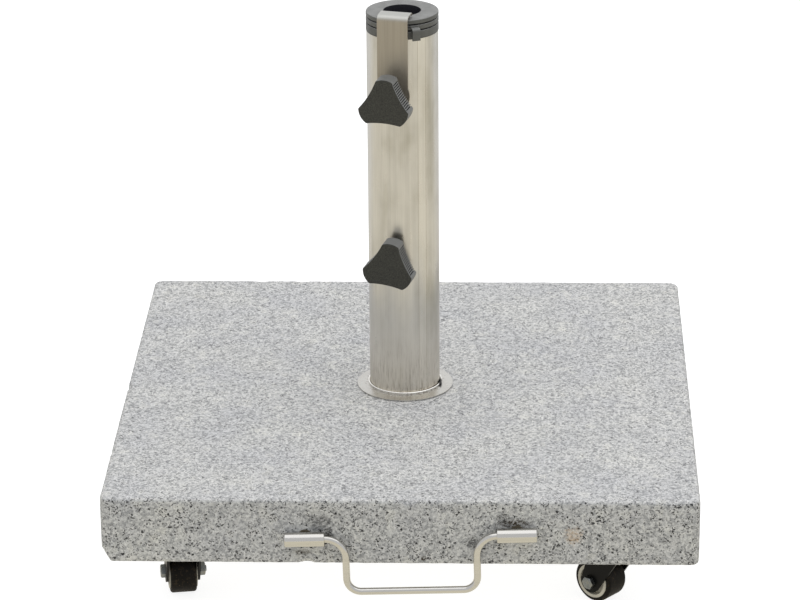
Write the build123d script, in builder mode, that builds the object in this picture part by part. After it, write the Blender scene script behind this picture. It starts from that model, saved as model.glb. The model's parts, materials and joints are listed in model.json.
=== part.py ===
from build123d import *

import os
from math import cos, degrees, radians, sin

# A rolling parasol base: a granite slab on four swivel casters, a clamping tube for the pole,
# and a drop handle on the front edge.
# Millimetres, +Z up, front towards -Y. The origin is on the floor under the middle of the base,
# measured over the slab and its handle, so the slab's own middle lies a little behind it.

# ---------------------------------------------------------------- driving dimensions

SLAB_SIDE = 500.0
SLAB_THICKNESS = 58.0
CASTER_HEIGHT = 54.0  # floor to the slab's underside
POST_HEIGHT = 347.5  # slab top to the top of the uppermost adapter ring

TUBE_R = 31.0
TUBE_WALL = 1.5
POLE_BORE_R = 16.25  # for a 32 mm pole
POST_X = -2.7  # the post stands this far from the slab's middle, to the left
CLAMP_AZIMUTH = 13.5  # knobs and strap stand this far round from the front, towards -X

WIRE_R = 3.0
SLEEVE_R = 6.15
SLEEVE_LENGTH = 33.4
SLEEVE_STAND_OFF = 7.0  # sleeve axis in front of the slab
HANDLE_X = 9.7  # the handle is fitted a little right of the middle
HANDLE_SLOPE = 1.6  # and not quite level, in degrees

WHEEL_R = 19.0
TRAIL = 20.0  # wheel axle behind the swivel axis
SWIVEL_X = 184.5
SWIVEL_FROM_EDGE = 38.5  # swivel axis from the slab's front or back edge

# ---------------------------------------------------------------- shared places

HANDLE_REACH = SLEEVE_STAND_OFF + SLEEVE_R
SLAB_Y = HANDLE_REACH / 2
SLAB_BOTTOM = CASTER_HEIGHT
SLAB_TOP = SLAB_BOTTOM + SLAB_THICKNESS
FRONT_Y = SLAB_Y - SLAB_SIDE / 2
TOP = SLAB_TOP + POST_HEIGHT

RUNNING_GAP = 0.05  # radial gap of a shaft that turns in its hole
SLIP_GAP = 0.2  # radial gap round a part that only slips into place
LOOSE_GAP = 0.3

OUTWARD = Vector(-sin(radians(CLAMP_AZIMUTH)), -cos(radians(CLAMP_AZIMUTH)), 0)
SIDEWAYS = Vector(cos(radians(CLAMP_AZIMUTH)), -sin(radians(CLAMP_AZIMUTH)), 0)


POST = Vector(POST_X, SLAB_Y, 0)
POST_AXIS = Axis(POST, (0, 0, 1))


def level(height):
    """Horizontal plane at a height above the floor, centred on the post."""
    return Plane(origin=POST + Vector(0, 0, height))


def slab_level(height):
    """Horizontal plane at a height above the floor, centred on the slab."""
    return Plane(origin=(0, SLAB_Y, height))


def clamp_plane(height, reach):
    """Plane square to a clamp screw, this far out from the post's axis, facing outward."""
    return Plane(
        origin=POST + Vector(0, 0, height) + OUTWARD * reach, x_dir=SIDEWAYS, z_dir=OUTWARD
    )


def radial_plane(azimuth):
    """Upright plane through the post's axis: x runs outward, y is the height above the floor."""
    turn = radians(azimuth)
    return Plane(
        origin=POST, x_dir=(-sin(turn), -cos(turn), 0), z_dir=(-cos(turn), sin(turn), 0)
    )


def save(piece, name):
    """Label a finished piece and write its STEP file."""
    piece.part.label = name
    export_step(piece.part, f"parts/{name}.step")


os.makedirs("parts", exist_ok=True)

# ---------------------------------------------------------------- granite slab

SLAB_CORNER = 9.0
SLAB_TOP_ARRIS = 3.0
SLAB_BOTTOM_ARRIS = 1.5
TUBE_RECESS = 12.0
TUBE_RECESS_R = TUBE_R + 2 * LOOSE_GAP
TIE_R = 6.0
TIE_HOLE_R = TIE_R + 1.0
TIE_POCKET = 14.0
TIE_POCKET_R = 21.0

PLATE_SIDE = 44.0
PLATE_THICKNESS = 2.5
PLATE_HOLES = 32.0
PLUG_R = 4.0
PLUG_LENGTH = 30.0

SLEEVE_PIN_R = 4.0
SLEEVE_PIN_DEPTH = 34.0
SLEEVE_PIN_LENGTH = 33.0  # of that depth, filled by the pin and its resin
RESIN_R = 6.0

HANDLE_INNER_HALF = 71.6  # middle of the handle to a sleeve's inner end
HANDLE_Z = SLAB_BOTTOM + 27.8
handle_along = Vector(cos(radians(HANDLE_SLOPE)), 0, sin(radians(HANDLE_SLOPE)))
handle_middle = Vector(HANDLE_X, FRONT_Y - SLEEVE_STAND_OFF, HANDLE_Z)
sleeve_centre_half = HANDLE_INNER_HALF + SLEEVE_LENGTH / 2
SIDES = {"left": -1, "right": 1}

SWIVEL_Y = SLAB_SIDE / 2 - SWIVEL_FROM_EDGE
# name: swivel axis (x, y) from the slab's middle, and how far the fork is swung round
CASTERS = {
    "front_left": (-SWIVEL_X, -SWIVEL_Y, 10.0),
    "front_right": (SWIVEL_X, -SWIVEL_Y, 49.5),
    "rear_left": (-SWIVEL_X, SWIVEL_Y, 52.0),
    "rear_right": (SWIVEL_X, SWIVEL_Y, -38.0),
}
swivel_places = [(x, y) for x, y, _ in CASTERS.values()]
screw_places = [
    (x + i * PLATE_HOLES / 2, y + j * PLATE_HOLES / 2)
    for x, y in swivel_places
    for i in (-1, 1)
    for j in (-1, 1)
]


def handle_hole_plane(side):
    """Plane on the slab's front face at a sleeve's middle, facing out of the slab."""
    centre = handle_middle + handle_along * (side * sleeve_centre_half)
    return Plane(origin=(centre.X, FRONT_Y, centre.Z), x_dir=(1, 0, 0), z_dir=(0, -1, 0))


with BuildPart() as slab:
    with BuildSketch(slab_level(SLAB_BOTTOM)):
        RectangleRounded(SLAB_SIDE, SLAB_SIDE, SLAB_CORNER)
    extrude(amount=SLAB_THICKNESS)
    fillet(slab.faces().sort_by(Axis.Z)[-1].edges(), SLAB_TOP_ARRIS)
    fillet(slab.faces().sort_by(Axis.Z)[0].edges(), SLAB_BOTTOM_ARRIS)
    with BuildSketch(level(SLAB_TOP)):
        Circle(TUBE_RECESS_R)
    extrude(amount=-TUBE_RECESS, mode=Mode.SUBTRACT)
    with BuildSketch(level(SLAB_BOTTOM)):
        Circle(TIE_HOLE_R)
    extrude(amount=SLAB_THICKNESS, mode=Mode.SUBTRACT)
    with BuildSketch(level(SLAB_BOTTOM)):
        Circle(TIE_POCKET_R)
    extrude(amount=TIE_POCKET, mode=Mode.SUBTRACT)
    with BuildSketch(slab_level(SLAB_BOTTOM)):
        with Locations(*screw_places):
            Circle(PLUG_R)
    extrude(amount=PLUG_LENGTH, mode=Mode.SUBTRACT)
    for side in SIDES.values():
        with BuildSketch(handle_hole_plane(side)):
            Circle(RESIN_R)
        extrude(amount=-SLEEVE_PIN_DEPTH, mode=Mode.SUBTRACT)
save(slab, "granite_slab")

# ---------------------------------------------------------------- post: tube, foot and rosette

TUBE_BORE_R = TUBE_R - TUBE_WALL
RING_GAP = 0.9
RING_HEIGHTS = {"outer": 7.0, "middle": 4.3, "inner": 4.0}
STACK_HEIGHT = sum(RING_HEIGHTS.values()) + 2 * RING_GAP
TUBE_TOP = TOP - STACK_HEIGHT
TUBE_BOTTOM = SLAB_TOP - TUBE_RECESS
FOOT_DISC = 8.0
CUP_HEIGHT = 34.0
CUP_FLOOR = 4.0
CUP_SOCKET = 22.0  # straight part of the cup, below the cone that guides the pole in
CUP_RIM = 2.5

UPPER_SCREW_Z = SLAB_TOP + 281.0
LOWER_SCREW_Z = SLAB_TOP + 129.5
BUSH_R = 8.0
BUSH_LENGTH = 10.2
BUSH_OUTER = TUBE_R + SLIP_GAP

with BuildPart() as tube:
    with BuildSketch(level(TUBE_BOTTOM)):
        Circle(TUBE_R)
        Circle(TUBE_BORE_R, mode=Mode.SUBTRACT)
    extrude(amount=TUBE_TOP - TUBE_BOTTOM)
    for height in (UPPER_SCREW_Z, LOWER_SCREW_Z):
        with BuildSketch(clamp_plane(height, 0)):
            Circle(BUSH_R)
        extrude(amount=2 * TUBE_R, mode=Mode.SUBTRACT)
save(tube, "pole_tube")

with BuildPart() as foot_disc:
    with BuildSketch(level(TUBE_BOTTOM)):
        Circle(TUBE_BORE_R)
        Circle(TIE_R, mode=Mode.SUBTRACT)
    extrude(amount=FOOT_DISC)
save(foot_disc, "tube_foot_disc")

WASHER_R = 18.0
WASHER_THICKNESS = 3.0
TIE_HEAD = 7.5
TIE_HEAD_FLATS = 19.0
washer_bottom = SLAB_BOTTOM + TIE_POCKET - WASHER_THICKNESS

with BuildPart() as tie_washer:
    with BuildSketch(level(washer_bottom)):
        Circle(WASHER_R)
        Circle(TIE_HOLE_R, mode=Mode.SUBTRACT)
    extrude(amount=WASHER_THICKNESS)
save(tie_washer, "tie_washer")

with BuildPart() as tie_bolt:
    with BuildSketch(level(washer_bottom - TIE_HEAD)):
        RegularPolygon(TIE_HEAD_FLATS / 2, 6, major_radius=False)
    extrude(amount=TIE_HEAD)
    with BuildSketch(level(washer_bottom)):
        Circle(TIE_R)
    extrude(amount=TUBE_BOTTOM + FOOT_DISC - washer_bottom)
save(tie_bolt, "tie_bolt")

CUP_R = TUBE_BORE_R - SLIP_GAP
CUP_BORE_R = POLE_BORE_R + SLIP_GAP
cup_bottom = TUBE_BOTTOM + FOOT_DISC
cup_socket_top = cup_bottom + CUP_SOCKET
with BuildPart() as foot_cup:
    with BuildSketch(radial_plane(0)):
        with BuildLine():
            Polyline(
                (0, cup_bottom),
                (CUP_R, cup_bottom),
                (CUP_R, cup_bottom + CUP_HEIGHT),
                (CUP_R - CUP_RIM, cup_bottom + CUP_HEIGHT),
                (CUP_BORE_R, cup_socket_top),
                (CUP_BORE_R, cup_bottom + CUP_FLOOR),
                (0, cup_bottom + CUP_FLOOR),
                close=True,
            )
        make_face()
    revolve(axis=POST_AXIS)
save(foot_cup, "pole_foot_cup")

ROSETTE_R = 42.5
ROSETTE_SHEET = 1.5
ROSETTE_UNDERCUT = 0.8  # the rim is cut away below, so that it stands off the rough stone
ROSETTE_RISE = 2.5  # top of the flat part above the slab, at the rolled lip
ROSETTE_SHIFT = 0.2  # it sits loose, pushed to the right, so its gap shows on that side
LIP_HEIGHT = 4.6
LIP_INNER_R = TUBE_R + ROSETTE_SHIFT + SLIP_GAP
LIP_EDGE = 0.6
rosette_foot = POST + Vector(ROSETTE_SHIFT, 0, 0)
rosette_plane = Plane(origin=rosette_foot, x_dir=(1, 0, 0), z_dir=(0, -1, 0))
with BuildPart() as rosette:
    with BuildSketch(rosette_plane):
        with BuildLine():
            Polyline(
                (ROSETTE_R - ROSETTE_UNDERCUT, SLAB_TOP),
                (ROSETTE_R, SLAB_TOP + ROSETTE_UNDERCUT),
                (ROSETTE_R, SLAB_TOP + ROSETTE_SHEET),
                (LIP_INNER_R + ROSETTE_SHEET, SLAB_TOP + ROSETTE_RISE),
                (LIP_INNER_R + ROSETTE_SHEET, SLAB_TOP + LIP_HEIGHT),
                (LIP_INNER_R, SLAB_TOP + LIP_HEIGHT),
                (LIP_INNER_R, SLAB_TOP),
                close=True,
            )
        profile = make_face()
        fillet(profile.vertices().sort_by(Axis.Z)[-2:], LIP_EDGE)
    revolve(axis=Axis(rosette_foot, (0, 0, 1)))
save(rosette, "rosette")

# ---------------------------------------------------------------- adapter rings

FLANGE_R = TUBE_R + 0.3
FLANGE_EDGE = 0.8
SLEEVE_DROP = 38.0  # how far the nested sleeves reach below the tube's mouth
NEST_GAP = 0.25
STRAP_THICKNESS = 1.2
STRAP_WIDTH = 27.0
STRAP_LEG_WIDTH = 13.0
STRAP_LEG_INNER = POLE_BORE_R + SLIP_GAP
GROOVE_PLAY = 0.5
GROOVE_WIDTH = STRAP_LEG_WIDTH + 2 * GROOVE_PLAY
GROOVE_R = STRAP_LEG_INNER + STRAP_THICKNESS + GROOVE_PLAY

# ring name: (bore radius, sleeve radius)
NEST = {
    "outer": (25.0, TUBE_BORE_R - NEST_GAP),
    "middle": (20.5, 25.0 - NEST_GAP),
    "inner": (POLE_BORE_R, 20.5 - NEST_GAP),
}
sleeve_bottom = TUBE_TOP - SLEEVE_DROP
middle_bottom = TUBE_TOP + RING_HEIGHTS["outer"] + RING_GAP
inner_bottom = middle_bottom + RING_HEIGHTS["middle"] + RING_GAP
FLANGE_BOTTOMS = {"outer": TUBE_TOP, "middle": middle_bottom, "inner": inner_bottom}


def ring_blank(ring):
    """Flanged adapter sleeve with rounded flange edges and a straight bore."""
    bore, sleeve = NEST[ring]
    with BuildPart() as blank:
        with BuildSketch(level(FLANGE_BOTTOMS[ring])):
            Circle(FLANGE_R)
        extrude(amount=RING_HEIGHTS[ring])
        fillet(blank.edges(), FLANGE_EDGE)
        with BuildSketch(level(sleeve_bottom)):
            Circle(sleeve)
        extrude(amount=FLANGE_BOTTOMS[ring] - sleeve_bottom)
        with BuildSketch(level(sleeve_bottom)):
            Circle(bore)
        extrude(amount=TOP - sleeve_bottom, mode=Mode.SUBTRACT)
    return blank.part


with BuildPart() as outer_adapter:
    add(ring_blank("outer"))
save(outer_adapter, "outer_adapter")

# The middle ring carries a small hook tab that bends out and down over the ring below it.
TAB_AZIMUTH = -21.5
TAB_WIDTH = 7.0
TAB_THICKNESS = 1.5
TAB_REACH = 5.0
TAB_BEND = 3.0
TAB_ROOT = 2.0  # the tab starts this far inside the flange
TAB_DROP = 10.0
TAB_SLANT = 0.6
tab_z = middle_bottom + RING_HEIGHTS["middle"] / 2
tab_plane = radial_plane(TAB_AZIMUTH)
with BuildPart() as middle_adapter:
    add(ring_blank("middle"))
    with BuildLine(tab_plane) as tab_path:
        FilletPolyline(
            (FLANGE_R - TAB_ROOT, tab_z),
            (FLANGE_R + TAB_REACH, tab_z),
            (FLANGE_R + TAB_REACH - TAB_SLANT, tab_z - TAB_DROP),
            radius=TAB_BEND,
        )
    with BuildSketch(Plane(origin=tab_path.line @ 0, z_dir=tab_path.line % 0, x_dir=(0, 0, 1))):
        Rectangle(TAB_THICKNESS, TAB_WIDTH)
    sweep()
save(middle_adapter, "middle_adapter")

# The inner ring is grooved for the strap's inner leg, so that a full-size pole still passes.
with BuildPart() as inner_adapter:
    add(ring_blank("inner"))
    with BuildSketch(clamp_plane(sleeve_bottom, 0)):
        with Locations((0, (TOP - sleeve_bottom) / 2)):
            Rectangle(GROOVE_WIDTH, TOP - sleeve_bottom)
    extrude(amount=GROOVE_R, mode=Mode.SUBTRACT)
save(inner_adapter, "inner_adapter")

# ---------------------------------------------------------------- pressure strap

STRAP_OUTER_INNER = FLANGE_R + 0.15  # inner face of the leg outside the tube
STRAP_LIFT = 4.1  # top of the inner bend above the rings
STRAP_REST = 2.4  # underside of the outer fold above the rings
STRAP_INNER_BEND = 1.9
STRAP_OUTER_BEND = 4.5
STRAP_EYE_R = 15.0
STRAP_HOLE_R = 5.6
STRAP_LEG_END = 80.0  # the inner leg's end below the rings' top
STRAP_SHOULDER_Z = 1.2  # where the strap widens, above the rings' top
half_strap = STRAP_THICKNESS / 2
strap_plane = radial_plane(CLAMP_AZIMUTH)
leg_x = STRAP_LEG_INNER + half_strap
outer_x = STRAP_OUTER_INNER + half_strap

with BuildPart() as strap:
    with BuildLine(strap_plane) as strap_path:
        FilletPolyline(
            (leg_x, TOP - STRAP_LEG_END),
            (leg_x, TOP + STRAP_LIFT - half_strap),
            (outer_x, TOP + STRAP_REST + half_strap),
            (outer_x, UPPER_SCREW_Z),
            radius=(STRAP_INNER_BEND, STRAP_OUTER_BEND),
        )
    with BuildSketch(Plane(origin=strap_path.line @ 0, z_dir=(0, 0, 1), x_dir=OUTWARD)):
        Rectangle(STRAP_THICKNESS, STRAP_WIDTH)
    sweep()
    with BuildSketch(clamp_plane(UPPER_SCREW_Z, STRAP_OUTER_INNER)):
        Circle(STRAP_EYE_R)
    extrude(amount=STRAP_THICKNESS)
    with BuildSketch(clamp_plane(UPPER_SCREW_Z, STRAP_OUTER_INNER)):
        Circle(STRAP_HOLE_R)
    extrude(amount=STRAP_THICKNESS, mode=Mode.SUBTRACT)
    # the leg inside the bore is narrower than the strap
    leg_top = TOP + STRAP_SHOULDER_Z
    leg_bottom = TOP - STRAP_LEG_END
    shoulder = (STRAP_WIDTH - STRAP_LEG_WIDTH) / 2
    with BuildSketch(clamp_plane(leg_bottom, 0)):
        with Locations(*[
            (i * (STRAP_LEG_WIDTH + shoulder) / 2, (leg_top - leg_bottom) / 2) for i in (-1, 1)
        ]):
            Rectangle(shoulder, leg_top - leg_bottom)
    extrude(amount=STRAP_LEG_INNER + 2 * STRAP_THICKNESS, mode=Mode.SUBTRACT)
save(strap, "pressure_strap")

# ---------------------------------------------------------------- clamp screws and knobs

STUD_R = 4.95
STUD_LENGTH = 21.0  # knob's back face to the tip of the thrust cap
STUD_IN_KNOB = 11.0
CAP_OUTER_R = 4.2
CAP_LENGTH = 4.5
SPIGOT_R = 2.4
SPIGOT_LENGTH = 3.0
END_PLAY = 0.1  # along the screw, between the stud and its cap

KNOB_THICKNESS = 16.0
KNOB_CORNER_R = 22.6  # centre to a lobe's corners
KNOB_LOBE_HALF = 18.8  # half the angle that a lobe's end takes up
KNOB_LOBE_R = 23.2  # centre to the middle of a lobe's end
KNOB_WAIST_R = 15.6  # centre to the middle of a hollow side
KNOB_CORNER_FILLET = 1.6
KNOB_FACE_EDGE = 0.6
KNOB_HUB_R = 9.0
KNOB_HUB_LENGTH = 4.8
FLUTE_WIDTH = 1.0
FLUTE_DEPTH = 1.5
FLUTE_PITCH = 2.0
FLUTES = 13
FLUTE_STOP = 1.2  # the flutes end this far behind the knob's face

# screw name: (height, knob's back face from the post's axis, turn of the knob in degrees)
SCREWS = {
    "upper": (UPPER_SCREW_Z, 47.0, -1.5),
    "lower": (LOWER_SCREW_Z, 38.0, -7.0),
}


def polar(radius, angle):
    """Point at a radius and an angle in degrees."""
    return (radius * cos(radians(angle)), radius * sin(radians(angle)))


def knob_outline(turn):
    """Three lobes with bulging ends and hollow sides."""
    with BuildSketch() as outline:
        with BuildLine():
            for lobe in range(3):
                middle = 90 + turn + 120 * lobe
                start = middle - KNOB_LOBE_HALF
                end = middle + KNOB_LOBE_HALF
                next_start = start + 120
                ThreePointArc(
                    polar(KNOB_CORNER_R, start),
                    polar(KNOB_LOBE_R, middle),
                    polar(KNOB_CORNER_R, end),
                )
                ThreePointArc(
                    polar(KNOB_CORNER_R, end),
                    polar(KNOB_WAIST_R, middle + 60),
                    polar(KNOB_CORNER_R, next_start),
                )
        make_face()
        fillet(outline.vertices(), KNOB_CORNER_FILLET)
    return outline.sketch


def knob_flutes(turn):
    """Narrow round-bottomed grooves, side by side along the three hollow sides."""
    side_half = 60 - KNOB_LOBE_HALF
    chord_half = KNOB_CORNER_R * sin(radians(side_half))
    chord_middle = KNOB_CORNER_R * cos(radians(side_half))
    sagitta = chord_middle - KNOB_WAIST_R
    hollow_r = (chord_half**2 + sagitta**2) / (2 * sagitta)
    step = FLUTE_PITCH / hollow_r
    with BuildSketch() as flutes:
        for side in range(3):
            facing = 90 + turn + 60 + 120 * side
            centre = polar(KNOB_WAIST_R + hollow_r, facing)
            for i in range(FLUTES):
                swing = (i - (FLUTES - 1) / 2) * step
                angle = facing + 180 + degrees(swing)
                offset_x, offset_y = polar(hollow_r, angle)
                with Locations((centre[0] + offset_x, centre[1] + offset_y)):
                    SlotOverall(2 * FLUTE_DEPTH, FLUTE_WIDTH, rotation=angle)
    return flutes.sketch


for name, (height, back, turn) in SCREWS.items():
    tip = back - STUD_LENGTH
    shoulder_at = tip + CAP_LENGTH + END_PLAY

    with BuildPart() as bush:
        with BuildSketch(clamp_plane(height, BUSH_OUTER)):
            Circle(BUSH_R)
            Circle(STUD_R + RUNNING_GAP, mode=Mode.SUBTRACT)
        extrude(amount=-BUSH_LENGTH)
    save(bush, f"{name}_thread_bush")

    with BuildPart() as thrust_cap:
        with BuildSketch(clamp_plane(height, tip)):
            Circle(CAP_OUTER_R)
        extrude(amount=CAP_LENGTH)
        with BuildSketch(clamp_plane(height, tip + CAP_LENGTH)):
            Circle(SPIGOT_R + RUNNING_GAP)
        extrude(amount=-(SPIGOT_LENGTH + END_PLAY), mode=Mode.SUBTRACT)
    save(thrust_cap, f"{name}_thrust_cap")

    with BuildPart() as stud:
        with BuildSketch(clamp_plane(height, shoulder_at)):
            Circle(STUD_R)
        extrude(amount=back + STUD_IN_KNOB - shoulder_at)
        with BuildSketch(clamp_plane(height, shoulder_at)):
            Circle(SPIGOT_R)
        extrude(amount=-SPIGOT_LENGTH)
    save(stud, f"{name}_knob_stud")

    with BuildPart() as knob:
        with BuildSketch(clamp_plane(height, back)):
            add(knob_outline(turn))
        extrude(amount=KNOB_THICKNESS)
        front = knob.faces().filter_by(GeomType.PLANE).sort_by(Axis(POST, OUTWARD))[-1]
        fillet(front.edges(), KNOB_FACE_EDGE)
        with BuildSketch(clamp_plane(height, back)):
            add(knob_flutes(turn))
        extrude(amount=KNOB_THICKNESS - FLUTE_STOP, mode=Mode.SUBTRACT)
        with BuildSketch(clamp_plane(height, back)):
            Circle(KNOB_HUB_R)
        extrude(amount=-KNOB_HUB_LENGTH)
        with BuildSketch(clamp_plane(height, back - KNOB_HUB_LENGTH)):
            Circle(STUD_R)
        extrude(amount=KNOB_HUB_LENGTH + STUD_IN_KNOB, mode=Mode.SUBTRACT)
    save(knob, f"{name}_knob")

# ---------------------------------------------------------------- handle

HANDLE_DROP = 48.7
LEG_HALF = 54.6
UPPER_BEND = 17.5
LOWER_BEND = 12.0
WIRE_IN_SLEEVE = 26.0
SLEEVE_BORE_DEPTH = 28.0
SLEEVE_EDGE = 0.8

# x runs along the handle to the right, y is up the front face
handle_plane = Plane(origin=handle_middle, x_dir=handle_along, z_dir=(0, -1, 0))
wire_end = HANDLE_INNER_HALF + WIRE_IN_SLEEVE


def sleeve_end_plane(side, distance):
    """Plane square to the handle's axis, this far from its middle, facing outward."""
    return Plane(
        origin=handle_middle + handle_along * (side * distance),
        x_dir=(0, -1, 0),
        z_dir=handle_along * side,
    )


with BuildPart() as bail:
    with BuildLine(handle_plane) as bail_path:
        FilletPolyline(
            (-wire_end, 0),
            (-LEG_HALF, 0),
            (-LEG_HALF, -HANDLE_DROP),
            (LEG_HALF, -HANDLE_DROP),
            (LEG_HALF, 0),
            (wire_end, 0),
            radius=(UPPER_BEND, LOWER_BEND, LOWER_BEND, UPPER_BEND),
        )
    with BuildSketch(Plane(origin=bail_path.line @ 0, z_dir=bail_path.line % 0)):
        Circle(WIRE_R)
    sweep()
save(bail, "handle_bail")

for side_name, side in SIDES.items():
    hole_plane = handle_hole_plane(side)

    with BuildPart() as sleeve:
        with BuildSketch(sleeve_end_plane(side, HANDLE_INNER_HALF)):
            Circle(SLEEVE_R)
        extrude(amount=SLEEVE_LENGTH)
        fillet(sleeve.edges(), SLEEVE_EDGE)
        with BuildSketch(sleeve_end_plane(side, HANDLE_INNER_HALF)):
            Circle(WIRE_R + RUNNING_GAP)
        extrude(amount=SLEEVE_BORE_DEPTH, mode=Mode.SUBTRACT)
    save(sleeve, f"{side_name}_handle_sleeve")

    with BuildPart() as sleeve_pin:
        with BuildSketch(hole_plane):
            Circle(SLEEVE_PIN_R)
        extrude(amount=-SLEEVE_PIN_LENGTH)
        with BuildSketch(hole_plane):
            Circle(SLEEVE_PIN_R)
        extrude(amount=SLEEVE_STAND_OFF)
        with BuildSketch(sleeve_end_plane(side, HANDLE_INNER_HALF)):
            Circle(SLEEVE_R)
        extrude(amount=SLEEVE_LENGTH, mode=Mode.SUBTRACT)
    save(sleeve_pin, f"{side_name}_sleeve_pin")

with BuildPart() as resin:
    for side in SIDES.values():
        with BuildSketch(handle_hole_plane(side)):
            Circle(RESIN_R)
            Circle(SLEEVE_PIN_R, mode=Mode.SUBTRACT)
        extrude(amount=-SLEEVE_PIN_LENGTH)
save(resin, "handle_resin_plugs")

# ---------------------------------------------------------------- casters

RACE_R = 15.0
RACE_HEIGHT = 2.2
KINGPIN_R = 4.0
KINGPIN_HEAD_R = 6.5
KINGPIN_HEAD = 1.8
CROWN_R = 18.0
CROWN_THICKNESS = 2.0
CROWN_FRONT = -13.0  # the legs' upper edge runs from here ...
CROWN_BACK = 23.0  # ... to here, measured back from the swivel axis
LEG_INNER = 12.6
LEG_THICKNESS = 2.0
LEG_END_R = 9.7
HUB_HALF = 12.2
RING_R = 15.0
RING_BORE_R = 12.4
WEB_HALF = 7.5
HUB_DRAFT = 0.6  # taper of the hub's recess and boss
RING_SETBACK = 0.2  # the ring ends this far inside the boss
BOSS_R = 6.8
TYRE_HALF = 11.2
TYRE_SEAT_R = 13.6
TYRE_SHOULDER = 2.4
AXLE_R = 3.0
AXLE_FLATS = 10.0
AXLE_HEAD = 4.0
AXLE_NUT = 5.0
SCREW_R = 2.2
SCREW_HEAD_R = 4.2
SCREW_HEAD = 1.8
SCREW_LENGTH = 24.0
SCREW_HOLE_R = SCREW_R + 0.2
PLATE_CORNER = 5.0
RACE_EDGE = 1.2
HEAD_EDGE = 1.0
FORK_CORNER = 1.5
LEG_SETBACK = 2.0  # the legs start this far inside the crown's ends
BOLT_TIP = 1.0  # bolt past its nut

plate_bottom = SLAB_BOTTOM - PLATE_THICKNESS
race_bottom = plate_bottom - RACE_HEIGHT
crown_top = race_bottom - LOOSE_GAP
crown_bottom = crown_top - CROWN_THICKNESS
kingpin_bottom = crown_bottom - LOOSE_GAP - KINGPIN_HEAD
leg_outer = LEG_INNER + LEG_THICKNESS


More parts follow.
